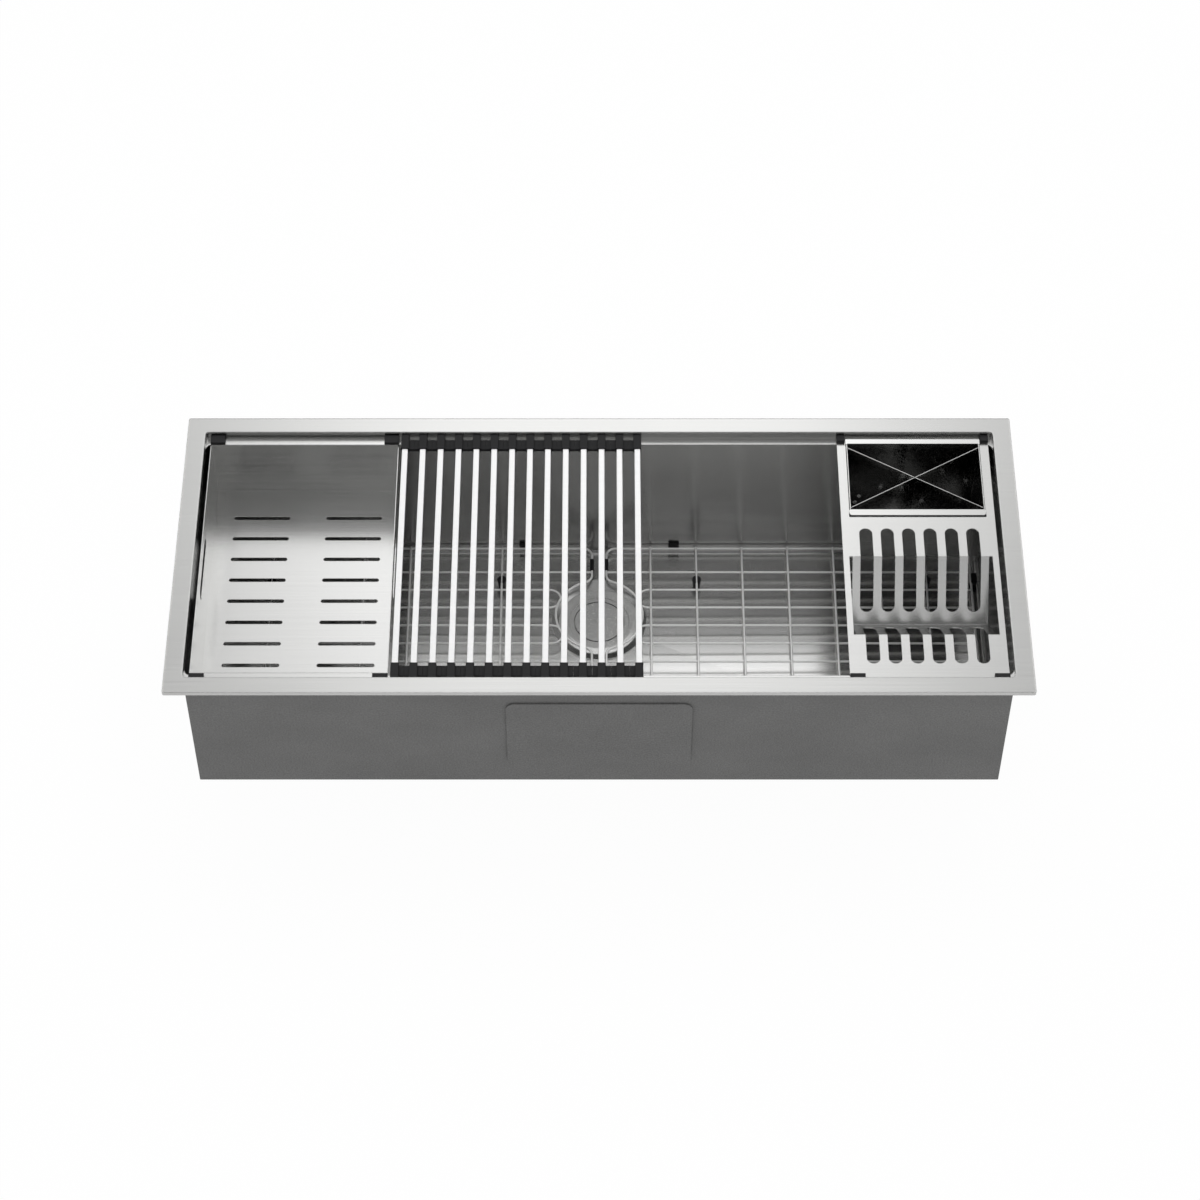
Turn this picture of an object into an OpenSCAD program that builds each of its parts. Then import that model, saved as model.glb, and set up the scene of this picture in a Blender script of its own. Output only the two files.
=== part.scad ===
// Workstation kitchen sink: a deep single bowl with a flat rim and a stepped ledge front and back,
// on which a colander, a roll-up drying mat and a rack with a utensil caddy stand. Two wire grids lie
// on the floor round a basket strainer with its nut, washers and tailpiece.
// Millimetres. Origin: centre of the rim's top plane. +X right, +Y back, +Z up.

/* [Sink] */
// Overall width of the rim, left to right
sink_w = 1143; // [1140:1:1150]
// Overall depth of the rim, front to back
sink_d = 470; // [468:1:474]
// Height from the rim's top to the outside of the floor
sink_h = 254; // [250:1:260]
// Width of the flat rim round the opening
rim_w = 25; // [24:0.5:25]
// Height of the rim's turned-down edge
rim_edge_h = 6; // [4:0.5:8]
// Depth of the ledge below the rim's top
ledge_drop = 12.6; // [12.6:0.1:13]
// Width of the ledge, front and back
ledge_w = 12; // [12:0.5:13]
// Thickness of the sheet steel
steel = 1.2; // [1:0.1:1.5]
// Inside radius of the bowl's upright and floor corners
bowl_r = 10; // [8:1:12]
// How far the floor falls from its edge to the drain
floor_fall = 3.5; // [2:0.5:4]
// Thickness of the sprayed coat outside the bowl
coat_t = 1; // [0.8:0.1:1.5]
// Thickness of the sound pads
pad_t = 2.5; // [2:0.5:4]

/* [Drain] */
// Distance of the drain behind the sink's centre line
drain_y = 73.5; // [70:0.5:75]
// Radius of the hole in the floor
drain_hole_r = 45; // [44.8:0.1:45.5]
// Radius of the strainer's flange
flange_r = 57; // [55:0.5:57]
// Radius of the strainer's mouth
mouth_r = 42.8; // [42.6:0.1:43]
// Radius of the lid over the basket
lid_r = 34.4; // [34:0.1:35]
// Outside radius of the tailpiece tube
tail_r = 19.05; // [18.9:0.05:19.1]
// Length of the tailpiece tube
tail_len = 72; // [50:1:100]

/* [Colander] */
// Outside width of the colander
colander_w = 261.2; // [258:0.2:261.2]
// Inside depth of the colander below its flange
colander_h = 101.8; // [80:0.2:110]
// Distance between its rows of drain slots
slot_pitch = 36.5; // [34:0.5:38]
// Length of each drain slot
slot_len = 78.5; // [60:0.5:90]
// Width of each drain slot
slot_w = 5.8; // [4:0.1:8]
// Length of the hand slots in the colander's ends
hand_len = 100; // [90:1:110]
// Height of the hand slots
hand_h = 20; // [18:1:24]

/* [Roll-up mat] */
// Number of bars
bars = 14; // [14:1:14]
// Distance between bars
bar_pitch = 24.76; // [24.5:0.01:24.8]
// Width of each bar
bar_w = 8.4; // [7:0.1:9]
// Height of each bar
bar_h = 6.6; // [5:0.1:7]
// Wall of each bar's tube
bar_wall = 1; // [0.8:0.1:1.5]

/* [Rack] */
// Width of the rack's plate
rack_w = 210; // [208:1:211]
// Thickness of the rack's plate
plate_t = 1.2; // [1:0.1:1.5]
// Depth of the caddy below its lips
caddy_h = 102; // [80:1:110]
// Distance from the fold to the trough's far side
trough_d = 131.7; // [120:0.1:135]
// Distance between the rack's slots
rack_slot_pitch = 29.05; // [28:0.05:29.5]
// Width of the rack's slots
rack_slot_w = 17.8; // [14:0.2:19]

/* [Bottom grids] */
// Diameter of the frame wire
frame_d = 3.5; // [3:0.1:4]
// Diameter of the grid wires
wire_d = 3; // [2.5:0.1:3.5]
// Distance between the long wires
long_pitch = 31.75; // [31:0.05:32]
// Distance between the cross wires
cross_pitch = 65.8; // [64:0.1:66]
// Radius of the ring round the drain
ring_r = 61.7; // [61:0.1:63]
// Half the distance between the two grids where they run side by side
neck_x = 10.3; // [10:0.1:11]

/* [Hidden] */
$fn = 48;

// Opening and bowl
open_x = sink_w / 2 - rim_w;
open_y = sink_d / 2 - rim_w;
bowl_y = open_y - ledge_w;
open_r = 5;
wall_top = -ledge_drop - steel;
floor_z = -sink_h + coat_t + steel + 0.3;
flat_x = open_x - bowl_r;
flat_y = bowl_y - bowl_r;
coat_top = -24;

// Drain: heights from the recess in the floor down to the tailpiece
recess_z = floor_z - floor_fall - 3;
recess_slope = 3 / 8.5;
recess_r = flange_r + 0.5;
flange_t = 1.6;
seat_r = mouth_r - 2.2;
seat_z = recess_z - 0.6;
cup_wall = 1.2;
cup_cone_z = recess_z - 27;
cup_foot_z = recess_z - 38;
cup_foot_r = 24;
outlet_r = 19.5;
spigot_r = 24;
spigot_z = recess_z - 67;
nut_top_z = recess_z - steel - 0.5 - 3 - 1;
basket_rim_t = 1.4;
basket_r = 36.9;
basket_mouth_r = 36.1;
basket_z = seat_z - 25.5;
stem_r = 2.5;
seal_r = 24.5;
seal_top = basket_z - 8.6;
seal_t = 2.5;
lid_t = 1.2;
lid_z = seat_z + 0.2;
washer_z = spigot_z - 3;
tail_flange_t = 1.5;
bead_z = washer_z - 8;
bead_r = tail_r + 1;

// Accessories hang on the ledge by rubber-capped flanges
rubber_z = -ledge_drop + 0.2;
hang_z = -10;
flange_y = bowl_y + 8.5;
cap_y = bowl_y + 10.5;
sheet = 1;
tray_x0 = -open_x + 7.3;
tray_y = bowl_y - 2;
tray_floor = hang_z - colander_h;
rubber_len = 20;
rubber_top = -5;
clip_front_y = bowl_y + 1.8;

// Mat
bar_x0 = -269;
bar_top = -4.6;
cap_w = 10.8;
cap_top = -3.4;
cap_inner_y = bowl_y - 14.5;
link_top = -8;
link_y0 = bowl_y - 12.5;
link_y1 = bowl_y + 4;
link_gap = 0.1;

// Rack
rack_x0 = 330;
rack_cx = rack_x0 + rack_w / 2;
caddy_half_x = 92;
caddy_y1 = bowl_y - 1.5;
caddy_y0 = caddy_y1 - 119;
back_lip_w = 10;
front_lip_w = 8.2;
lip_t = 1.1;
strip_t = 1.1;
lip_z = hang_z + strip_t + 0.05;
fold_y = -1.2;
trough_half_x = 92.3;
trough_open_x = 96.8;
trough_y1 = fold_y - trough_d;
rack_slots = 6;

// Grids
wire_z = floor_z + 11.5;
frame_z = wire_z - (frame_d - wire_d) / 2;
cross_z = wire_z + wire_d + 0.02;
frame_x = 533;
frame_y = bowl_y - 5.1;
frame_r = 12;
neck_r = 13;
fillet_r = 12;
long_y0 = 149.4;
cross_x0 = 73.8;
long_wires = 10;
cross_wires = 7;
weld_gap = 0.05;

// Floor height at a point, on four planes that fall to the drain
function floor_at(x, y) = floor_z - floor_fall * (1 - max(abs(x) / flat_x,
    y > drain_y ? (y - drain_y) / (flat_y - drain_y) : (drain_y - y) / (flat_y + drain_y)));

module plate(x0, x1, y0, y1, z0, z1) {
    translate([x0, y0, z0]) cube([x1 - x0, y1 - y0, z1 - z0]);
}

// A box on the centre with round upright edges
module round_plate(hx, hy, r, z0, z1) {
    plate(-hx + r, hx - r, -hy, hy, z0, z1);
    plate(-hx, hx, -hy + r, hy - r, z0, z1);
    for (sx = [-1, 1], sy = [-1, 1])
        translate([sx * (hx - r), sy * (hy - r), z0]) cylinder(r = r, h = z1 - z0);
}

// A tub-shaped solid: upright and floor edges rounded to one radius
module tub(hx, hy, r, z0, z1) {
    round_plate(hx, hy, r, z0 + r, z1);
    plate(-hx + r, hx - r, -hy + r, hy - r, z0, z0 + r);
    for (s = [-1, 1]) {
        translate([-hx + r, s * (hy - r), z0 + r]) rotate([0, 90, 0]) cylinder(r = r, h = 2 * (hx - r));
        translate([s * (hx - r), -hy + r, z0 + r]) rotate([-90, 0, 0]) cylinder(r = r, h = 2 * (hy - r));
        for (t = [-1, 1])
            translate([s * (hx - r), t * (hy - r), z0 + r]) sphere(r = r);
    }
}

// The pit under the flat part of the floor, falling to the drain
module floor_pit() {
    intersection() {
        translate([0, flat_y, 0]) rotate([90, 0, 0]) linear_extrude(2 * flat_y)
            polygon([[-flat_x, floor_z], [flat_x, floor_z], [0, floor_z - floor_fall]]);
        translate([-flat_x, 0, 0]) rotate([90, 0, 90]) linear_extrude(2 * flat_x)
            polygon([[-flat_y, floor_z], [flat_y, floor_z], [drain_y, floor_z - floor_fall]]);
    }
}

module drain_recess(drop) {
    top = floor_z + 2;
    r_top = recess_r + (top - recess_z) / recess_slope;
    translate([0, drain_y, recess_z - drop]) cylinder(r1 = recess_r, r2 = r_top, h = top - recess_z);
}

// Everything inside the bowl, moved out by t and down by t
module bowl_space(t, z_top) {
    tub(open_x + t, bowl_y + t, bowl_r + t, floor_z - t, z_top);
    translate([0, 0, -t]) floor_pit();
    intersection() {
        drain_recess(t);
        translate([0, drain_y, recess_z - 10]) cylinder(r = 75, h = 30);
    }
}

// The outside of the sprayed coat: as the bowl, but with square corners and edges
module coat_space(t, z_top) {
    round_plate(open_x + t, bowl_y + t, 1.5, floor_z - t, z_top);
    translate([0, 0, -t]) floor_pit();
    intersection() {
        drain_recess(t);
        translate([0, drain_y, recess_z - 10]) cylinder(r = 75, h = 30);
    }
}

// The flat rim with its turned-down edge
module rim_deck() {
    color("gainsboro") difference() {
        round_plate(sink_w / 2, sink_d / 2, 3, -rim_edge_h, 0);
        round_plate(sink_w / 2 - steel, sink_d / 2 - steel, 2, -rim_edge_h - 1, -steel);
        round_plate(open_x, open_y, open_r, -rim_edge_h - 1, 1);
    }
}

// The upright step from the rim down to the ledge
module rim_step() {
    color("gainsboro") difference() {
        round_plate(open_x + steel, open_y + steel, open_r + steel, -ledge_drop, -steel);
        round_plate(open_x, open_y, open_r, -ledge_drop - 1, 0);
    }
}

module ledge() {
    color("gainsboro") difference() {
        round_plate(open_x + steel, open_y + steel, open_r + steel, wall_top, -ledge_drop);
        round_plate(open_x, bowl_y, bowl_r, wall_top - 1, 0);
    }
}

module bowl_shell() {
    color("silver") difference() {
        bowl_space(steel, wall_top);
        bowl_space(0, wall_top + 1);
        translate([0, drain_y, recess_z - 10]) cylinder(r = drain_hole_r, h = 20);
    }
}

module undercoat() {
    color("dimgray") difference() {
        coat_space(steel + coat_t, coat_top);
        bowl_space(steel, coat_top + 1);
        translate([0, drain_y, recess_z - 20]) cylinder(r = flange_r + 6, h = 40);
    }
}

// A sound pad w wide and h high with round corners, standing on the plane y = 0
module wall_pad(w, h) {
    r = 12;
    rotate([90, 0, 0]) round_plate(w / 2, h / 2, r, 0, pad_t);
}

coat_y = bowl_y + steel + coat_t;
coat_x = open_x + steel + coat_t;
wall_pad_z = -142;

// One pad on each of the four walls
module sound_pads_wall() {
    color("dimgray") {
        for (y = [-coat_y, coat_y + pad_t]) translate([0, y, wall_pad_z]) wall_pad(249, 140);
        for (x = [-coat_x - pad_t, coat_x])
            translate([x, 0, wall_pad_z]) rotate([0, 0, 90]) wall_pad(200, 130);
    }
}

// These follow the floor's slope
module sound_pads_base() {
    color("dimgray") difference() {
        intersection() {
            translate([0, 0, -pad_t]) bowl_space(steel + coat_t, wall_top);
            for (s = [-1, 1])
                translate([s * 300, 0, 0]) round_plate(150, 125, 12, floor_z - 20, floor_z + 5);
        }
        bowl_space(steel + coat_t, wall_top + 1);
    }
}

module strainer_body() {
    color("silver") translate([0, drain_y, 0]) rotate_extrude() polygon([
        [mouth_r, recess_z + flange_t], [mouth_r + 5, recess_z + flange_t], [flange_r, recess_z + 0.7],
        [flange_r, recess_z], [mouth_r + cup_wall, recess_z], [mouth_r + cup_wall, cup_cone_z],
        [cup_foot_r + cup_wall, cup_foot_z - 1.2], [spigot_r, cup_foot_z - 1.2], [spigot_r, spigot_z],
        [outlet_r, spigot_z], [outlet_r, cup_foot_z], [cup_foot_r, cup_foot_z], [seat_r, cup_cone_z],
        [seat_r, seat_z], [mouth_r, seat_z]]);
}

// A flat ring on the drain's axis
module drain_ring(r_in, r_out, z0, z1) {
    translate([0, drain_y, z0]) difference() {
        cylinder(r = r_out, h = z1 - z0);
        translate([0, 0, -1]) cylinder(r = r_in, h = z1 - z0 + 2);
    }
}

module strainer_gasket() {
    color("black") drain_ring(drain_hole_r, 55, nut_top_z + 1, recess_z - steel);
}

module friction_ring() {
    color("tan") drain_ring(drain_hole_r, 54, nut_top_z, nut_top_z + 1);
}

module strainer_locknut() {
    color("lightgray") {
        difference() {
            union() {
                drain_ring(mouth_r + cup_wall + 0.1, 53, nut_top_z - 4, nut_top_z);
                drain_ring(mouth_r + cup_wall + 0.1, 48, nut_top_z - 14, nut_top_z - 4);
                for (a = [0:60:300]) translate([0, drain_y, nut_top_z - 14]) rotate([0, 0, a])
                    plate(46.5, 52.5, -4, 4, 0, 10);
            }
            translate([0, drain_y, nut_top_z - 20]) cylinder(r = mouth_r + cup_wall + 0.1, h = 30);
        }
    }
}

module tailpiece_washer() {
    color("white") drain_ring(tail_r, 23, washer_z, spigot_z);
}

module tailpiece() {
    color("silver") translate([0, drain_y, 0]) rotate_extrude() polygon([
        [tail_r - 1, washer_z], [22.5, washer_z], [22.5, washer_z - tail_flange_t],
        [tail_r, washer_z - tail_flange_t], [tail_r, bead_z], [bead_r, bead_z], [bead_r, bead_z - 1.6],
        [tail_r, bead_z - 1.6], [tail_r, washer_z - tail_len], [tail_r - 1, washer_z - tail_len]]);
}

module slip_nut() {
    nut_z = washer_z - tail_flange_t - 4;
    color("lightgray") translate([0, drain_y, 0]) difference() {
        union() {
            translate([0, 0, nut_z]) cylinder(r = 28, h = 24);
            for (a = [0:45:315]) rotate([0, 0, a]) plate(26.5, 31, -3, 3, nut_z, nut_z + 24);
        }
        translate([0, 0, nut_z + 4]) cylinder(r = spigot_r + 0.1, h = 30);
        translate([0, 0, nut_z - 1]) cylinder(r = bead_r + 0.3, h = 30);
    }
}

module strainer_basket() {
    holes = 16;
    color("silver") translate([0, drain_y, 0]) difference() {
        rotate_extrude() polygon([
            [basket_mouth_r, seat_z + basket_rim_t], [mouth_r - 0.5, seat_z + basket_rim_t],
            [mouth_r - 0.5, seat_z], [basket_r, seat_z], [basket_r, basket_z - 0.8],
            [stem_r + 0.1, basket_z - 0.8], [stem_r + 0.1, basket_z], [basket_mouth_r, basket_z]]);
        for (i = [0:holes - 1]) rotate([0, 0, i * 360 / holes]) {
            translate([30, 0, basket_z - 2]) cylinder(r = 3, h = 4);
            translate([basket_r + 2, 0, seat_z - 9]) rotate([0, -90, 0]) cylinder(r = 3, h = 6);
            translate([basket_r + 2, 0, seat_z - 18]) rotate([0, -90, 0]) cylinder(r = 3, h = 6);
        }
        for (i = [0:9]) rotate([0, 0, i * 36]) translate([19, 0, basket_z - 2]) cylinder(r = 3, h = 4);
        for (i = [0:5]) rotate([0, 0, i * 60]) translate([9.5, 0, basket_z - 2]) cylinder(r = 2, h = 4);
    }
}

module drain_lid() {
    color("silver") translate([0, drain_y, lid_z]) difference() {
        cylinder(r = lid_r, h = lid_t);
        translate([0, 0, -1]) cylinder(r = stem_r, h = lid_t + 2);
    }
}

module stopper_stem() {
    color("silver") translate([0, drain_y, seal_top - seal_t])
        cylinder(r = stem_r, h = lid_z + lid_t - seal_top + seal_t);
}

module stopper_knob() {
    z = lid_z + lid_t;
    color("silver") translate([0, drain_y, 0]) rotate_extrude() polygon([
        [0, z], [3, z], [3, z + 3], [4.6, z + 4.2], [4.6, z + 6.6], [3.4, z + 7.8], [0, z + 7.8]]);
}

module stopper_seal() {
    color("black") drain_ring(stem_r, seal_r, seal_top - seal_t, seal_top);
}

// A slot with round ends along X, cut through z0 to z1
module slot_x(len, w, z0, z1) {
    plate(-len / 2 + w / 2, len / 2 - w / 2, -w / 2, w / 2, z0, z1);
    for (s = [-1, 1]) translate([s * (len - w) / 2, 0, z0]) cylinder(d = w, h = z1 - z0);
}

tray_x1 = tray_x0 + colander_w;
tray_cx = (tray_x0 + tray_x1) / 2;

module colander_floor() {
    rows = 9;
    color("lightgray") difference() {
        plate(tray_x0, tray_x1, -tray_y, tray_y, tray_floor - sheet, tray_floor);
        for (i = [0:rows - 1], s = [-1, 1])
            translate([tray_cx + s * 64.5, (i - (rows - 1) / 2) * slot_pitch, 0])
                slot_x(slot_len, slot_w, tray_floor - 2, tray_floor + 1);
    }
}

module colander_walls() {
    color("lightgray") difference() {
        plate(tray_x0, tray_x1, -tray_y, tray_y, tray_floor, hang_z);
        plate(tray_x0 + sheet, tray_x1 - sheet, -tray_y + sheet, tray_y - sheet, tray_floor - 1, 1);
        translate([tray_x0 - 1, 0, hang_z - 20 - hand_h / 2]) rotate([0, 90, 0]) rotate([0, 0, 90])
            slot_x(hand_len, hand_h, 0, colander_w + 2);
    }
}

module colander_flanges() {
    color("lightgray") for (s = [0, 1]) mirror([0, s, 0])
        plate(tray_x0, tray_x1, tray_y, flange_y, hang_z - sheet, hang_z);
}

// A rubber clip round the end of a flange: x0 to x1 at the back (s = 1) or the front (s = -1),
// with its top reaching in to y0
module rubber_clip(x0, x1, s, sheet_t, y0) {
    mirror([0, s > 0 ? 0 : 1, 0]) {
        plate(x0, x1, bowl_y - 1, cap_y, rubber_z, hang_z - sheet_t);
        plate(x0, x1, flange_y, cap_y, hang_z - sheet_t, hang_z);
        plate(x0, x1, y0, cap_y, hang_z, rubber_top);
    }
}

module colander_pads() {
    color("black") for (s = [-1, 1], x = [tray_x0, tray_x1 - rubber_len])
        rubber_clip(x, x + rubber_len, s, sheet, s > 0 ? bowl_y - 3 : clip_front_y);
}

// One bar's number counts from the left
module mat_bar(i) {
    z0 = bar_top - bar_h;
    color("whitesmoke") translate([bar_x0 + (i - 1) * bar_pitch, cap_y - 1.5, z0 + bar_h / 2])
        rotate([90, 0, 0]) difference() {
            round_plate(bar_w / 2, bar_h / 2, 1.2, 0, 2 * (cap_y - 1.5));
            round_plate(bar_w / 2 - bar_wall, bar_h / 2 - bar_wall, 0.5, -1, 2 * cap_y);
        }
}

// The moulded ends of one bar, front and back, with half of the link on each side
module mat_ends(i) {
    z0 = bar_top - bar_h;
    half = (bar_pitch - link_gap) / 2;
    left = i == 1 ? cap_w / 2 : half;
    right = i == bars ? cap_w / 2 : half;
    color("black") translate([bar_x0 + (i - 1) * bar_pitch, 0, 0]) for (s = [0, 1])
        mirror([0, s, 0]) difference() {
            union() {
                plate(-cap_w / 2, cap_w / 2, cap_inner_y, cap_y, rubber_z, cap_top);
                plate(-left, right, link_y0, link_y1, rubber_z, link_top);
            }
            translate([0, cap_y - 1.5, z0 + bar_h / 2]) rotate([90, 0, 0])
                round_plate(bar_w / 2, bar_h / 2, 1.2, 0, 60);
        }
}

// One slot across a fold at y = 0: flat_len along the plate, drop_len down the 45 degree panel
module rack_slot(flat_len, drop_len) {
    w = rack_slot_w;
    c = 4;
    m = c * tan(22.5);
    a = flat_len - w / 2;
    b = (drop_len - w / 2) * sqrt(0.5);
    k = c * sqrt(0.5);
    translate([-w / 2, 0, 0]) rotate([90, 0, 90]) linear_extrude(w)
        polygon([[a, -c], [m, -c], [k - b, -k - b], [-k - b, k - b], [-m, c], [a, c]]);
    translate([0, a, -c]) cylinder(d = w, h = 2 * c);
    translate([0, -b, -b]) rotate([45, 0, 0]) translate([0, 0, -c]) cylinder(d = w, h = 2 * c);
}

// All the slots, cut across the trough's two folds
module rack_slot_rows() {
    for (i = [0:rack_slots - 1]) translate([rack_cx + (i - (rack_slots - 1) / 2) * rack_slot_pitch, 0, 0]) {
        translate([0, fold_y, hang_z]) rack_slot(48.2, 75.9);
        translate([0, trough_y1, hang_z]) mirror([0, 1, 0]) rack_slot(47.5, 65);
    }
}

module rack_plate() {
    hole_x = caddy_half_x + 1;
    color("lightgray") difference() {
        plate(rack_x0, rack_x0 + rack_w, -flange_y, flange_y, hang_z - plate_t, hang_z);
        plate(rack_cx - hole_x, rack_cx + hole_x, caddy_y0 - 1, caddy_y1 + 1, -20, 0);
        plate(rack_cx - trough_open_x, rack_cx + trough_open_x, trough_y1, fold_y, -20, 0);
        rack_slot_rows();
    }
}

// The V-shaped trough between the two folds
module rack_trough() {
    mid_y = fold_y - trough_d / 2;
    mid_z = hang_z - trough_d / 2;
    drop = plate_t * sqrt(2);
    color("lightgray") difference() {
        translate([rack_cx - trough_half_x, 0, 0]) rotate([90, 0, 90]) linear_extrude(2 * trough_half_x)
            polygon([[fold_y, hang_z], [mid_y, mid_z], [trough_y1, hang_z], [trough_y1, hang_z - drop],
                [mid_y, mid_z - drop], [fold_y, hang_z - drop]]);
        rack_slot_rows();
    }
}

// The four clips, and a strip under the caddy's front lip
module rack_pads() {
    color("black") {
        for (x = [rack_x0, rack_x0 + rack_w - 11]) rubber_clip(x, x + 11, 1, plate_t, bowl_y + 0.5);
        for (x = [rack_x0, rack_x0 + rack_w - rubber_len])
            rubber_clip(x, x + rubber_len, -1, plate_t, clip_front_y);
        plate(rack_cx - caddy_half_x - 1.6, rack_cx + caddy_half_x + 1.6, caddy_y0 - front_lip_w - 1.6,
            caddy_y0 - 3, hang_z, hang_z + strip_t);
    }
}

// A lip lip_w wide with two round free corners, from y0 outwards
module caddy_lip(y0, out, lip_w) {
    hx = caddy_half_x + 1.2;
    r = 4;
    mirror([0, out > 0 ? 0 : 1, 0]) {
        plate(rack_cx - hx, rack_cx + hx, out * y0 - 1, out * y0 + lip_w - r, lip_z, lip_z + lip_t);
        plate(rack_cx - hx + r, rack_cx + hx - r, out * y0, out * y0 + lip_w, lip_z, lip_z + lip_t);
        for (s = [-1, 1]) translate([rack_cx + s * (hx - r), out * y0 + lip_w - r, lip_z])
            cylinder(r = r, h = lip_t);
    }
}

module caddy_box() {
    top = lip_z + lip_t;
    color("lightgray") difference() {
        union() {
            plate(rack_cx - caddy_half_x, rack_cx + caddy_half_x, caddy_y0, caddy_y1, top - caddy_h, top);
            caddy_lip(caddy_y0 - 0.8, -1, front_lip_w);
            caddy_lip(caddy_y1 - 0.5, 1, back_lip_w);
        }
        plate(rack_cx - caddy_half_x + sheet, rack_cx + caddy_half_x - sheet, caddy_y0 + sheet,
            caddy_y1 - sheet, top - caddy_h + sheet, 1);
        for (i = [-3:3], j = [-1, 0, 1])
            translate([rack_cx + i * 25, (caddy_y0 + caddy_y1) / 2 + j * 36, top - caddy_h - 1])
                cylinder(d = 6, h = 3);
    }
}

// One diagonal plate of the caddy's divider, notched half way for the other
module caddy_divider(s, notch_z0, notch_z1) {
    dx = caddy_half_x - sheet - 0.6;
    dy = 53.2;
    len = 2 * sqrt(dx * dx + dy * dy);
    z0 = lip_z + lip_t - caddy_h + sheet + 0.3;
    z1 = hang_z - 0.3;
    color("lightgray") translate([rack_cx, (caddy_y0 + caddy_y1) / 2, 0]) rotate([0, 0, s * atan(dy / dx)])
        difference() {
            plate(-len / 2, len / 2, -0.4, 0.4, z0, z1);
            plate(-1.2, 1.2, -1, 1, notch_z0, notch_z1);
        }
}

half_z = hang_z - 50;

module caddy_dividers() {
    caddy_divider(1, -200, half_z + 0.1);
    caddy_divider(-1, half_z - 0.1, 0);
}

// Straight wire between two points of one grid level
module wire(a, b, z, d) {
    v = b - a;
    translate([a[0], a[1], z]) rotate([0, 0, atan2(v[1], v[0])]) rotate([0, 90, 0])
        cylinder(d = d, h = norm(v));
}

// Bent wire: arc round a centre from angle a0 to angle a1
module bend(c, r, a0, a1, z, d) {
    translate([c[0], c[1], z]) rotate([0, 0, a0]) rotate_extrude(angle = a1 - a0)
        translate([r, 0]) circle(d = d);
}

// The centre of the bend between the neck and the ring, and the ring's angle there
fillet_x = neck_x + fillet_r;
fillet_y = sqrt(pow(ring_r + fillet_r, 2) - pow(fillet_x, 2));
ring_a = atan2(fillet_y, fillet_x);

// The frame of the right-hand grid: tubes and bends end to end
module grid_frame() {
    z = frame_z;
    d = frame_d;
    g = weld_gap;
    ring_parts = 4;
    ring_step = 2 * ring_a / ring_parts;
    for (s = [-1, 1]) {
        corner = [frame_x - frame_r, s * (frame_y - frame_r)];
        neck_c = [neck_x + neck_r, s * (frame_y - neck_r)];
        turn = [neck_x + fillet_r, drain_y + s * fillet_y];
        bend(corner, frame_r, s > 0 ? 0 : -90, s > 0 ? 90 : 0, z, d);
        wire([neck_c[0] + g, s * frame_y], [corner[0] - g, s * frame_y], z, d);
        bend(neck_c, neck_r, s > 0 ? 90 : 180, s > 0 ? 180 : 270, z, d);
        wire([neck_x, neck_c[1] - s * g], [neck_x, turn[1] + s * g], z, d);
        bend(turn, fillet_r, s > 0 ? 180 : 180 - ring_a, s > 0 ? 180 + ring_a : 180, z, d);
    }
    wire([frame_x, -frame_y + frame_r + g], [frame_x, frame_y - frame_r - g], z, d);
    for (k = [0:ring_parts - 1])
        bend([0, drain_y], ring_r, -ring_a + k * ring_step + g, -ring_a + (k + 1) * ring_step - g, z, d);
}

// The long wires next to the ring are joined in pairs by bends that end against it
u_r = long_pitch / 2;
u_reach = ring_r + u_r - 1.25;

function pair_y(pair) = long_y0 - (1.5 + 2 * pair) * long_pitch;
function pair_x(pair) = sqrt(pow(u_reach, 2) - pow(pair_y(pair) - drain_y, 2));

module grid_wires() {
    z = wire_z;
    grid_frame();
    for (i = [0:long_wires - 1]) {
        y = long_y0 - i * long_pitch;
        paired = i > 0 && i < 5;
        x0 = paired ? pair_x(i < 3 ? 0 : 1) + weld_gap : neck_x + frame_d / 2 + weld_gap;
        wire([x0, y], [frame_x - frame_d / 2 - weld_gap, y], z, wire_d);
    }
    difference() {
        for (pair = [0, 1]) bend([pair_x(pair), pair_y(pair)], u_r, 90, 270, z, wire_d);
        translate([0, drain_y, z - 10]) cylinder(r = ring_r + frame_d / 2 + weld_gap, h = 20);
    }
    for (k = [0:cross_wires - 1])
        wire([cross_x0 + k * cross_pitch, -frame_y], [cross_x0 + k * cross_pitch, frame_y], cross_z, wire_d);
}

// A rubber foot under a cross wire, which lies in a groove in its top
module grid_foot(x, y) {
    z0 = floor_at(x, y) + 0.3;
    difference() {
        translate([x, y, z0]) cylinder(r1 = 4.8, r2 = 6.4, h = cross_z + 1.2 - z0);
        wire([x, y - 10], [x, y + 10], cross_z, wire_d);
    }
}

module grid_feet() {
    for (k = [1, 6], y = [long_y0 - long_pitch / 2, long_y0 - 8.5 * long_pitch])
        grid_foot(cross_x0 + k * cross_pitch, y);
}

// A bumper's body on the far side of a frame wire along X, with a toe under the wire
module clip_side(x, y, out, up, len) {
    plate(x - len / 2, x + len / 2, y + 0.3, y + out, frame_z - 3, frame_z + up);
    plate(x - len / 2, x + len / 2, y - 0.8, y + 1, frame_z - 3, frame_z);
}

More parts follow.
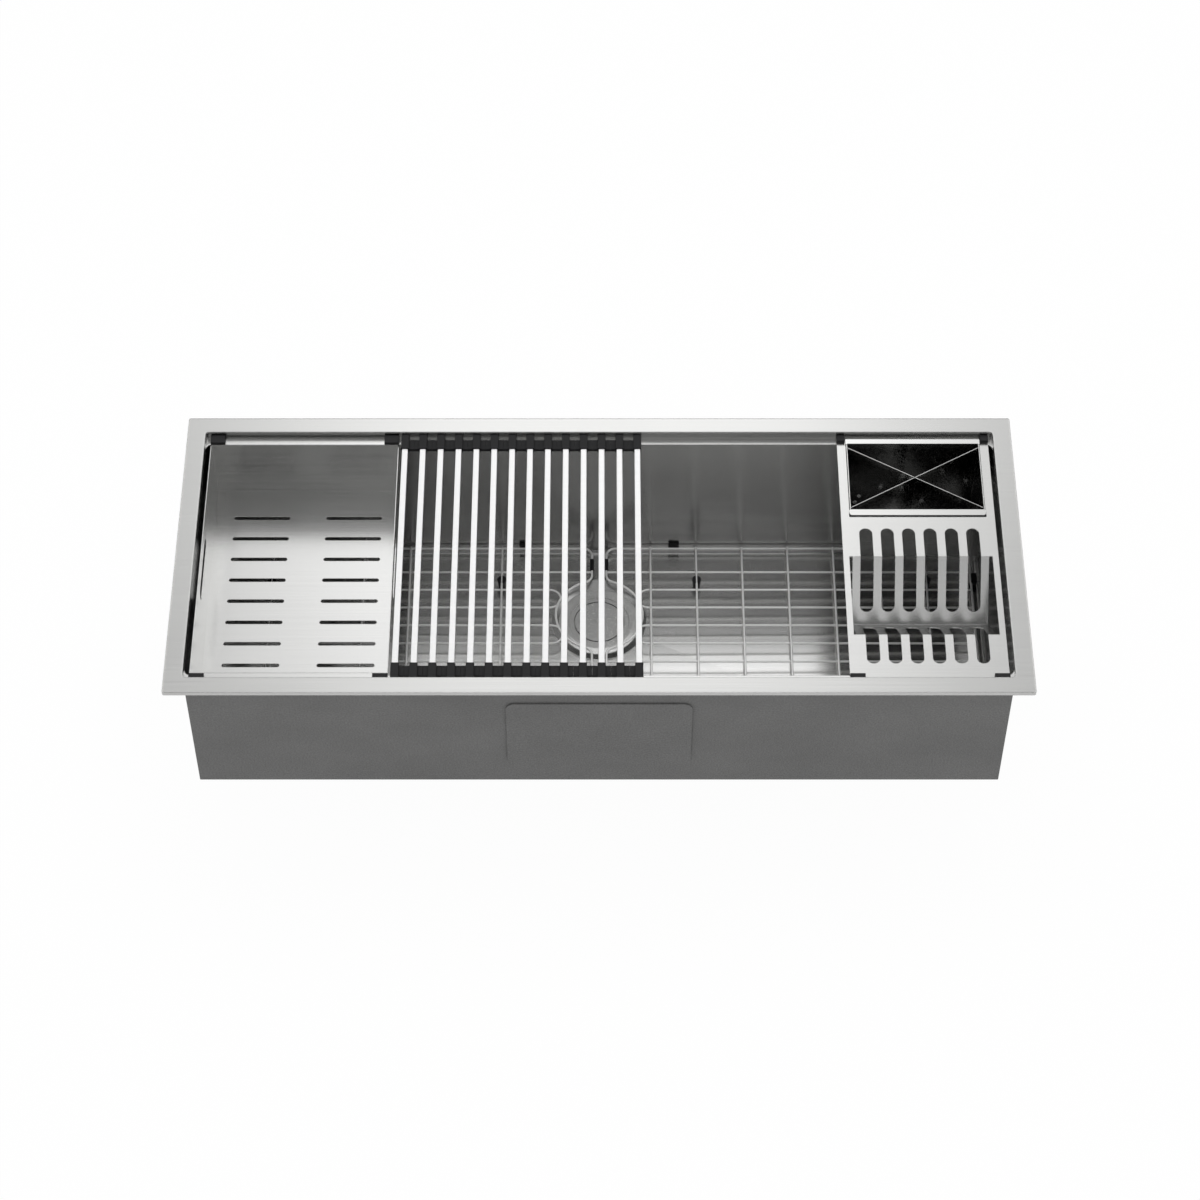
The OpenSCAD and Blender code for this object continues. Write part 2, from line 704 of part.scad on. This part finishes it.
// Rubber bumpers gripping the frame, and sleeves where the two grids run side by side
module grid_bumpers() {
    len = 15;
    difference() {
        union() {
            for (x = [107.5, cross_x0 + 5.5 * cross_pitch], s = [0, 1]) mirror([0, s, 0])
                clip_side(x, frame_y, bowl_y - 0.4 - frame_y, 7.8, len);
            for (y = [137, -137])
                translate([frame_x, y, 0]) rotate([0, 0, -90]) clip_side(0, 0, 8, 4.5, len);
            for (y = [162, -frame_y + 30])
                wire([neck_x, y - 10], [neck_x, y + 10], frame_z, frame_d + 2.2);
        }
        for (s = [-1, 1]) wire([30, s * frame_y], [500, s * frame_y], frame_z, frame_d);
        wire([frame_x, -160], [frame_x, 160], frame_z, frame_d);
        wire([neck_x, -179], [neck_x, 179], frame_z, frame_d);
    }
}

module grid_right_wires() {
    color("silver") grid_wires();
}

module grid_right_rubbers() {
    color("black") {
        grid_feet();
        grid_bumpers();
    }
}

module grid_left_wires() {
    color("silver") mirror([1, 0, 0]) grid_wires();
}

module grid_left_rubbers() {
    mirror([1, 0, 0]) grid_right_rubbers();
}

rim_deck();
rim_step();
ledge();
bowl_shell();
undercoat();
sound_pads_wall();
sound_pads_base();
strainer_body();
strainer_gasket();
friction_ring();
strainer_locknut();
tailpiece_washer();
tailpiece();
slip_nut();
strainer_basket();
drain_lid();
stopper_stem();
stopper_knob();
stopper_seal();
colander_floor();
colander_walls();
colander_flanges();
colander_pads();
rack_plate();
rack_trough();
rack_pads();
caddy_box();
caddy_dividers();
grid_left_wires();
grid_left_rubbers();
grid_right_wires();
grid_right_rubbers();
mat_bar(1);  // mat_bar_01
mat_bar(2);  // mat_bar_02
mat_bar(3);  // mat_bar_03
mat_bar(4);  // mat_bar_04
mat_bar(5);  // mat_bar_05
mat_bar(6);  // mat_bar_06
mat_bar(7);  // mat_bar_07
mat_bar(8);  // mat_bar_08
mat_bar(9);  // mat_bar_09
mat_bar(10);  // mat_bar_10
mat_bar(11);  // mat_bar_11
mat_bar(12);  // mat_bar_12
mat_bar(13);  // mat_bar_13
mat_bar(14);  // mat_bar_14
mat_ends(1);  // mat_ends_01
mat_ends(2);  // mat_ends_02
mat_ends(3);  // mat_ends_03
mat_ends(4);  // mat_ends_04
mat_ends(5);  // mat_ends_05
mat_ends(6);  // mat_ends_06
mat_ends(7);  // mat_ends_07
mat_ends(8);  // mat_ends_08
mat_ends(9);  // mat_ends_09
mat_ends(10);  // mat_ends_10
mat_ends(11);  // mat_ends_11
mat_ends(12);  // mat_ends_12
mat_ends(13);  // mat_ends_13
mat_ends(14);  // mat_ends_14
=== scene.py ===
"""Looks of the workstation kitchen sink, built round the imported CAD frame. Metres, same frame as the CAD."""

import math

import bpy
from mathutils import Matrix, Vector


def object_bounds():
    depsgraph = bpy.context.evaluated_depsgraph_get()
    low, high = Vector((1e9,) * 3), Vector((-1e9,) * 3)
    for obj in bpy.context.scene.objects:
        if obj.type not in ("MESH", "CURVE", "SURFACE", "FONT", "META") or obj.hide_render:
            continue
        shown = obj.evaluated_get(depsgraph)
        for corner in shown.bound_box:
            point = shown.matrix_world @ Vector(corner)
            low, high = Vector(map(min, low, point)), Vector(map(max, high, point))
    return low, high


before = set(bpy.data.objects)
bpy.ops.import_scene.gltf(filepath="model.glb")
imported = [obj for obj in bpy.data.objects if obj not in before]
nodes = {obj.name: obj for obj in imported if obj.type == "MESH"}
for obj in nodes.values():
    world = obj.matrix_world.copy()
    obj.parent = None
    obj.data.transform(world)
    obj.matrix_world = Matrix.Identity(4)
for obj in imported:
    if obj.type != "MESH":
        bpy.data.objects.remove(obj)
CAD_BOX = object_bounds()
MM = 0.001
scene = bpy.context.scene

# ---------------------------------------------------------------- camera
# Width of the picture and the camera's focal length, both in pixels of the photograph
SIZE_PX = 1200
FOCAL_PX = 3218.1
SENSOR_WIDTH = 36
# The camera looks down along +Y, tilted this far from straight down
CAM_PLACE = (0.0012, -2.68046, 3.41742)
CAM_TILT = math.radians(37.237)

cam_data = bpy.data.cameras.new("camera")
cam_data.sensor_width = SENSOR_WIDTH
cam_data.sensor_fit = "HORIZONTAL"
cam_data.lens = FOCAL_PX / SIZE_PX * cam_data.sensor_width
cam_data.clip_start = 0.05
cam_data.clip_end = 60
cam = bpy.data.objects.new("camera", cam_data)
scene.collection.objects.link(cam)
cam.location = CAM_PLACE
cam.rotation_euler = (CAM_TILT, 0, 0)
scene.camera = cam
scene.view_settings.view_transform = "Standard"

# ---------------------------------------------------------------- material helpers
# The part of a noise texture's range that most of its values lie in
NOISE_RANGE = (0.3, 0.7)
# Noise cells per metre along X, Y and Z: the brush marks, and the broad clouds of wear
BRUSH_GRAIN = (4, 500, 500)
CLOUD_GRAIN = (4, 7, 7)
# The same for turned metal, for the wear of rubber, and for the sprayed coat's grain and clouds
TURNED_GRAIN = (900, 900, 900)
RUBBER_CLOUD = (60, 60, 60)
SPRAY_GRAIN = (420, 420, 420)
SPRAY_CLOUD = (9, 9, 14)
# How far the wear moves the roughness of brushed steel
WEAR = 0.015
# Slope from which brushed faces are fully flat, as the upward share of the normal
FLAT = 0.9995
BUMP_DEPTH = 0.1 * MM
BEVEL_SAMPLES = 4


def add_node(tree, kind, **settings):
    node = tree.nodes.new(kind)
    for key, value in settings.items():
        setattr(node, key, value)
    return node


class Mat:
    """A node material with its Principled shader, and short ways to add nodes."""

    def __init__(self, name, base, rough, metallic=0.0):
        self.mat = bpy.data.materials.new(name)
        self.mat.use_nodes = True
        self.tree = self.mat.node_tree
        self.p = self.tree.nodes["Principled BSDF"]
        self.p.inputs["Base Color"].default_value = (*base, 1)
        self.p.inputs["Roughness"].default_value = rough
        self.p.inputs["Metallic"].default_value = metallic
        self.base = base

    def node(self, kind, **settings):
        return add_node(self.tree, kind, **settings)

    def link(self, a, b):
        self.tree.links.new(a, b)

    def normal(self):
        return self.node("ShaderNodeNewGeometry").outputs["Normal"]

    def noise(self, scale, detail=2.0, rough=0.5):
        """Noise with so many cells per metre along X, Y and Z."""
        mapping = self.node("ShaderNodeMapping")
        mapping.inputs["Scale"].default_value = scale
        self.link(self.node("ShaderNodeTexCoord").outputs["Object"], mapping.inputs["Vector"])
        n = self.node("ShaderNodeTexNoise")
        n.inputs["Scale"].default_value = 1.0
        n.inputs["Detail"].default_value = detail
        n.inputs["Roughness"].default_value = rough
        self.link(mapping.outputs["Vector"], n.inputs["Vector"])
        return n.outputs["Fac"]

    def remap(self, fac, lo, hi, src=NOISE_RANGE):
        n = self.node("ShaderNodeMapRange")
        n.inputs["From Min"].default_value = src[0]
        n.inputs["From Max"].default_value = src[1]
        n.inputs["To Min"].default_value = lo
        n.inputs["To Max"].default_value = hi
        self.link(fac, n.inputs["Value"])
        return n.outputs["Result"]

    def combine(self, op, a, b):
        n = self.node("ShaderNodeMath", operation=op)
        self.link(a, n.inputs[0])
        self.link(b, n.inputs[1])
        return n.outputs[0]

    def combine_vectors(self, op, a, b):
        n = self.node("ShaderNodeVectorMath", operation=op)
        self.link(a, n.inputs[0])
        self.link(b, n.inputs[1])
        return n

    def shade_base(self, fac):
        """Base colour times a varying factor."""
        n = self.node("ShaderNodeMix", data_type="RGBA", blend_type="MULTIPLY")
        n.inputs["Factor"].default_value = 1.0
        n.inputs["A"].default_value = (*self.base, 1)
        grey = self.node("ShaderNodeCombineColor")
        for c in ("Red", "Green", "Blue"):
            self.link(fac, grey.inputs[c])
        self.link(grey.outputs["Color"], n.inputs["B"])
        self.link(n.outputs["Result"], self.p.inputs["Base Color"])

    def bump(self, height, strength, distance=BUMP_DEPTH):
        n = self.node("ShaderNodeBump")
        n.inputs["Strength"].default_value = strength
        n.inputs["Distance"].default_value = distance
        self.link(height, n.inputs["Height"])
        self.link(n.outputs["Normal"], self.p.inputs["Normal"])
        return n

    def round_edges(self, radius, bump):
        """Shades the edges as if rounded, under the bump, and returns the rounded normal."""
        bevel = self.node("ShaderNodeBevel", samples=BEVEL_SAMPLES)
        bevel.inputs["Radius"].default_value = radius
        self.link(bevel.outputs["Normal"], bump.inputs["Normal"])
        return bevel.outputs["Normal"]

    def brush_along(self, normal, slope):
        """Sets the way the brush went: level on upright faces, along X on flat ones."""
        up = self.node("ShaderNodeCombineXYZ")
        up.inputs["Z"].default_value = 1
        level = self.combine_vectors("CROSS_PRODUCT", up.outputs[0], normal)
        flat = self.node("ShaderNodeCombineXYZ")
        self.link(slope, flat.inputs["X"])
        total = self.combine_vectors("ADD", level.outputs[0], flat.outputs[0])
        self.link(total.outputs[0], self.p.inputs["Tangent"])


def brushed(name, base, rough, aniso=0.7, upright_shade=1.0, streak=0.015, edge=0.6 * MM, deep_shade=None,
            flat_from=0.0):
    """Sheet steel brushed along the sink's width. Upright faces are a given factor times as bright as flat
    ones, which is painted shade.

    flat_from is the upward share of the normal up to which faces count as standing.
    A height and a share can be given as well: from 10 mm below that height, the colour is only that share as
    bright, painted shade deep inside a recess.
    """
    m = Mat(name, base, rough, 1.0)
    m.p.inputs["Anisotropic"].default_value = aniso
    m.p.inputs["Anisotropic Rotation"].default_value = 0.25
    fine = m.noise(BRUSH_GRAIN)
    cloud = m.noise(CLOUD_GRAIN)
    marks = m.remap(fine, rough - streak, rough + streak)
    m.link(m.combine("ADD", marks, m.remap(cloud, -WEAR, WEAR)), m.p.inputs["Roughness"])
    normal = m.normal()
    parts = m.node("ShaderNodeSeparateXYZ")
    m.link(normal, parts.inputs[0])
    size = m.node("ShaderNodeMath", operation="ABSOLUTE")
    m.link(parts.outputs["Z"], size.inputs[0])
    slope = size.outputs[0]
    m.brush_along(normal, slope)
    shade = m.combine("MULTIPLY", m.remap(fine, 0.97, 1.02), m.remap(cloud, 0.985, 1.01))
    # Painted shade: upright faces get a darker colour than flat ones
    shade = m.combine("MULTIPLY", shade, m.remap(slope, upright_shade, 1, (flat_from, FLAT)))
    # Painted shade: the colour darkens towards the bottom, deep inside a recess
    if deep_shade:
        top, share = deep_shade
        place = m.node("ShaderNodeSeparateXYZ")
        m.link(m.node("ShaderNodeTexCoord").outputs["Object"], place.inputs[0])
        painted_recess_shade = m.remap(place.outputs["Z"], share, 1, (top - 10 * MM, top))
        shade = m.combine("MULTIPLY", shade, painted_recess_shade)
    m.shade_base(shade)
    m.round_edges(edge, m.bump(fine, 0.03))
    return m.mat


def turned(name, base, rough, metallic=1.0):
    """Drain parts, turned or spun about an upright axis, and wire."""
    m = Mat(name, base, rough, metallic)
    n = m.noise(TURNED_GRAIN)
    m.link(m.remap(n, rough - 0.05, rough + 0.06), m.p.inputs["Roughness"])
    m.shade_base(m.remap(n, 0.94, 1.02))
    m.round_edges(0.4 * MM, m.bump(n, 0.08))
    return m.mat


def rubber(name, base, rough=0.55, grain=2500, depth=0.25, edge=0.6 * MM, painted_edge_shade=1.0):
    """Rubber and other dull parts. The rounded edges are the last argument times as bright as the faces:
    painted shade.
    """
    m = Mat(name, base, rough)
    m.p.inputs["Specular IOR Level"].default_value = 0.22
    n = m.noise((grain, grain, grain))
    c = m.noise(RUBBER_CLOUD, detail=3.0)
    m.link(m.remap(c, rough - 0.06, rough + 0.08), m.p.inputs["Roughness"])
    rounded = m.round_edges(edge, m.bump(n, depth))
    turn = m.combine_vectors("DOT_PRODUCT", rounded, m.normal())
    # Painted shade: the rounded edges are darkened
    painted_edge_factor = m.remap(turn.outputs["Value"], painted_edge_shade, 1, (0.8, 0.995))
    grit = m.combine("MULTIPLY", m.remap(n, 0.85, 1.1), m.remap(c, 0.9, 1.06))
    m.shade_base(m.combine("MULTIPLY", grit, painted_edge_factor))
    return m.mat


def sprayed(name, base):
    """The sprayed coat: a fine even grain with broad, faint clouds."""
    m = Mat(name, base, 0.75)
    m.p.inputs["Specular IOR Level"].default_value = 0.3
    grain = m.noise(SPRAY_GRAIN, detail=4.0, rough=0.65)
    cloud = m.noise(SPRAY_CLOUD, detail=3.0, rough=0.6)
    m.shade_base(m.combine("MULTIPLY", m.remap(grain, 0.78, 1.20), m.remap(cloud, 0.93, 1.06)))
    m.bump(grain, 0.6, 0.6 * MM)
    return m.mat


# ---------------------------------------------------------------- materials
COAT_GREY = (0.170, 0.170, 0.168)

# Painted shade: the fifth argument makes the upright faces of rim, ledge, bowl and tray darker
STEEL_RIM = brushed("steel_rim", (0.70, 0.70, 0.69), 0.22, 0.7, 0.7, edge=2.5 * MM)
STEEL_LEDGE = brushed("steel_ledge", (0.82, 0.82, 0.81), 0.24, 0.6, 0.5, edge=2.2 * MM)
STEEL_BOWL = brushed("steel_bowl", (0.96, 0.96, 0.95), 0.22, 0.6, 0.45, streak=0.008, flat_from=0.94)
STEEL_TRAY = brushed("steel_tray", (0.79, 0.79, 0.78), 0.22, 0.7, 0.82, edge=0.8 * MM)
STEEL_RACK = brushed("steel_rack", (0.76, 0.76, 0.75), 0.22)
# Painted shade: the caddy's colour darkens towards its bottom inside
STEEL_CADDY = brushed("steel_caddy", (0.74, 0.74, 0.73), 0.12, 0.5, deep_shade=(-12 * MM, 0.35))
STEEL_BAR = brushed("steel_bar", (0.90, 0.90, 0.90), 0.35, 0.0)
STEEL_WIRE = turned("steel_wire", (1.0, 1.0, 0.99), 0.12, 0.3)
STEEL_DRAIN = turned("steel_drain", (0.93, 0.93, 0.92), 0.22, 0.65)
CHROME = turned("tail_chrome", (0.60, 0.60, 0.61), 0.14)
CAST = turned("cast_nut", (0.62, 0.60, 0.57), 0.45)
COAT = sprayed("sprayed_coat", COAT_GREY)
PAD = sprayed("sound_pad", COAT_GREY)
# Painted shade: the rounded edges of this rubber darken down to a tenth
RUBBER = rubber("black_rubber", (0.015, 0.015, 0.016), edge=1.1 * MM, painted_edge_shade=0.1)
GASKET = rubber("gasket_rubber", (0.03, 0.03, 0.03))
PLASTIC = rubber("washer_plastic", (0.85, 0.85, 0.83), 0.4)
FIBRE = rubber("pressed_fibre", (0.50, 0.38, 0.24), 0.8, 900, 0.5)

LOOKS = {
    STEEL_RIM: ["rim_deck", "rim_step"],
    STEEL_LEDGE: ["ledge"],
    STEEL_BOWL: ["bowl_shell"],
    STEEL_TRAY: ["colander_floor", "colander_walls", "colander_flanges"],
    STEEL_RACK: ["rack_plate", "rack_trough"],
    STEEL_CADDY: ["caddy_box", "caddy_dividers"],
    STEEL_BAR: [n for n in nodes if n.startswith("mat_bar")],
    STEEL_WIRE: ["grid_left_wires", "grid_right_wires"],
    STEEL_DRAIN: ["strainer_body", "strainer_basket", "drain_lid", "stopper_stem", "stopper_knob"],
    CHROME: ["tailpiece"],
    CAST: ["strainer_locknut", "slip_nut"],
    COAT: ["undercoat"],
    PAD: ["sound_pads_wall", "sound_pads_base"],
    RUBBER: ["colander_pads", "rack_pads", "grid_left_rubbers", "grid_right_rubbers"]
            + [n for n in nodes if n.startswith("mat_ends")],
    GASKET: ["strainer_gasket", "stopper_seal"],
    PLASTIC: ["tailpiece_washer"],
    FIBRE: ["friction_ring"],
}
for look, names in LOOKS.items():
    for name in names:
        for slot in nodes[name].material_slots:
            slot.link = "OBJECT"
            slot.material = look

# ---------------------------------------------------------------- studio
# Brightness of the studio as metal sees it, against the angle in degrees from the back over the top
# to the front
SKY = [(0, 0.15), (24, 0.20), (38, 1.35), (47, 1.65), (52, 1.25), (56, 0.95), (64, 1.05), (74, 1.20),
       (82, 1.10), (89, 0.50), (95, 0.50), (101, 1.30), (107, 0.80), (112, 0.12), (117, 0.07), (135, 0.07),
       (143, 0.95), (158, 1.10), (180, 0.70)]
SKY_TOP = 1.65
# Brightness towards the left and right, against the share of the radius
SIDES = [(0.0, 1.0), (0.09, 1.0), (0.16, 0.84), (0.24, 0.58), (0.32, 0.45), (0.38, 1.20), (0.75, 1.20),
         (0.90, 0.30), (1.0, 0.10)]
SIDES_TOP = 1.2
TENT_R = 5.0
TENT_RINGS = 24
TENT_AROUND = 72
# The tent starts this far above the horizon
TENT_LOW = math.radians(9)

# World light on the object, and the white that the camera and metal see
WORLD_LIGHT = 0.66
WORLD_SEEN = 1.0
FLOOR_HALF = 12
FLOOR_GAP = 2 * MM
FLOOR_GREY = 0.95
# Share of the floor that is seen as even white; the rest takes the object's shadow
FLOOR_WHITE = 0.97

LAMP_PLACE = (0, 0.6, 3.2)
LAMP_SIZE = (2.5, 1.5)
LAMP_POWER = 44


def math_node(tree, op, a, b=None):
    """A math node on two sockets, or on a socket and a number."""
    n = add_node(tree, "ShaderNodeMath", operation=op)
    tree.links.new(a, n.inputs[0])
    if isinstance(b, (int, float)):
        n.inputs[1].default_value = b
    elif b is not None:
        tree.links.new(b, n.inputs[1])
    return n.outputs[0]


def seen_directly(tree):
    """1 for camera, glossy and transmission rays, and 0 for the rays that light the object."""
    path = tree.nodes.new("ShaderNodeLightPath").outputs
    mirrored = math_node(tree, "MAXIMUM", path["Is Glossy Ray"], path["Is Transmission Ray"])
    return math_node(tree, "MAXIMUM", path["Is Camera Ray"], mirrored)


def brightness_ramp(tree, value, stops, span, top):
    ramp = tree.nodes.new("ShaderNodeValToRGB")
    points = ramp.color_ramp.elements
    while len(points) < len(stops):
        points.new(0.5)
    for point, (place, brightness) in zip(points, stops):
        grey = brightness / top
        point.position = place / span
        point.color = (grey, grey, grey, 1)
    tree.links.new(value, ramp.inputs[0])
    return ramp.outputs["Color"]


def tent_mesh():
    """A dome whose lowest ring is TENT_LOW above the horizon."""
    verts = []
    for i in range(TENT_RINGS):
        up = TENT_LOW + (math.pi / 2 - TENT_LOW) * i / TENT_RINGS
        for j in range(TENT_AROUND):
            turn = 2 * math.pi * j / TENT_AROUND
            verts.append((TENT_R * math.cos(up) * math.cos(turn), TENT_R * math.cos(up) * math.sin(turn),
                          TENT_R * math.sin(up)))
    verts.append((0, 0, TENT_R))
    faces = []
    for i in range(TENT_RINGS - 1):
        low = i * TENT_AROUND
        high = low + TENT_AROUND
        for j in range(TENT_AROUND):
            k = (j + 1) % TENT_AROUND
            faces.append((low + j, low + k, high + k, high + j))
    last = (TENT_RINGS - 1) * TENT_AROUND
    faces += [(last + j, last + (j + 1) % TENT_AROUND, len(verts) - 1) for j in range(TENT_AROUND)]
    mesh = bpy.data.meshes.new("tent")
    mesh.from_pydata(verts, [], faces)
    return mesh


def tent_material():
    """Soft light that varies from back to front as SKY says, and to the sides as SIDES says."""
    mat = bpy.data.materials.new("tent")
    mat.use_nodes = True
    t = mat.node_tree
    t.nodes.remove(t.nodes["Principled BSDF"])
    place = t.nodes.new("ShaderNodeSeparateXYZ")
    t.links.new(t.nodes.new("ShaderNodeTexCoord").outputs["Object"], place.inputs[0])
    angle = math_node(t, "ARCTAN2", place.outputs["Z"], place.outputs["Y"])
    turn = math_node(t, "DIVIDE", angle, math.pi)
    share = math_node(t, "DIVIDE", math_node(t, "ABSOLUTE", place.outputs["X"]), TENT_R)
    product = add_node(t, "ShaderNodeMix", data_type="RGBA", blend_type="MULTIPLY")
    product.inputs["Factor"].default_value = 1.0
    t.links.new(brightness_ramp(t, turn, SKY, 180, SKY_TOP), product.inputs["A"])
    t.links.new(brightness_ramp(t, share, SIDES, 1, SIDES_TOP), product.inputs["B"])
    emit = t.nodes.new("ShaderNodeEmission")
    emit.inputs["Strength"].default_value = SKY_TOP * SIDES_TOP
    t.links.new(product.outputs["Result"], emit.inputs["Color"])
    t.links.new(emit.outputs[0], t.nodes["Material Output"].inputs["Surface"])
    return mat


def studio_tent():
    """A dome of soft light over the sink that only metal sees, open below, where the pale floor shows."""
    mesh = tent_mesh()
    mesh.materials.append(tent_material())
    obj = bpy.data.objects.new("tent", mesh)
    scene.collection.objects.link(obj)
    obj.visible_camera = False
    obj.visible_diffuse = False
    obj.visible_shadow = False
    obj.visible_transmission = False


def studio_world():
    """Even white light, plainer on the object than the white that is seen behind it."""
    world = bpy.data.worlds.new("world")
    scene.world = world
    world.use_nodes = True
    t = world.node_tree
    background = t.nodes["Background"]
    strength = t.nodes.new("ShaderNodeMapRange")
    strength.inputs["To Min"].default_value = WORLD_LIGHT
    strength.inputs["To Max"].default_value = WORLD_SEEN
    t.links.new(seen_directly(t), strength.inputs["Value"])
    t.links.new(strength.outputs["Result"], background.inputs["Strength"])
    background.inputs["Color"].default_value = (1, 1, 1, 1)


def studio_floor():
    """A wide pale floor just under the tailpiece, seen as nearly even white."""
    z = CAD_BOX[0][2] - FLOOR_GAP
    corners = [(x * FLOOR_HALF, y * FLOOR_HALF, z) for x, y in ((-1, -1), (1, -1), (1, 1), (-1, 1))]
    mesh = bpy.data.meshes.new("floor")
    mesh.from_pydata(corners, [], [(0, 1, 2, 3)])
    floor = bpy.data.objects.new("floor", mesh)
    scene.collection.objects.link(floor)
    mat = bpy.data.materials.new("floor")
    mat.use_nodes = True
    t = mat.node_tree
    plain = t.nodes["Principled BSDF"]
    plain.inputs["Base Color"].default_value = (FLOOR_GREY, FLOOR_GREY, FLOOR_GREY, 1)
    plain.inputs["Roughness"].default_value = 1.0
    plain.inputs["Specular IOR Level"].default_value = 0.0
    white = t.nodes.new("ShaderNodeEmission")
    white.inputs["Strength"].default_value = 1.0
    mix = t.nodes.new("ShaderNodeMixShader")
    t.links.new(math_node(t, "MULTIPLY", seen_directly(t), FLOOR_WHITE), mix.inputs[0])
    t.links.new(plain.outputs[0], mix.inputs[1])
    t.links.new(white.outputs[0], mix.inputs[2])
    t.links.new(mix.outputs[0], t.nodes["Material Output"].inputs["Surface"])
    mesh.materials.append(mat)


def top_light():
    """One broad lamp above the bowl. Metal doesn't mirror it, as the tent is there for that."""
    data = bpy.data.lights.new("top_light", "AREA")
    data.shape = "RECTANGLE"
    data.size, data.size_y = LAMP_SIZE
    data.energy = LAMP_POWER
    obj = bpy.data.objects.new("top_light", data)
    scene.collection.objects.link(obj)
    obj.location = LAMP_PLACE
    obj.rotation_euler = (-Vector(LAMP_PLACE)).to_track_quat("-Z", "Y").to_euler()
    obj.visible_glossy = False


studio_tent()
studio_world()
studio_floor()
top_light()
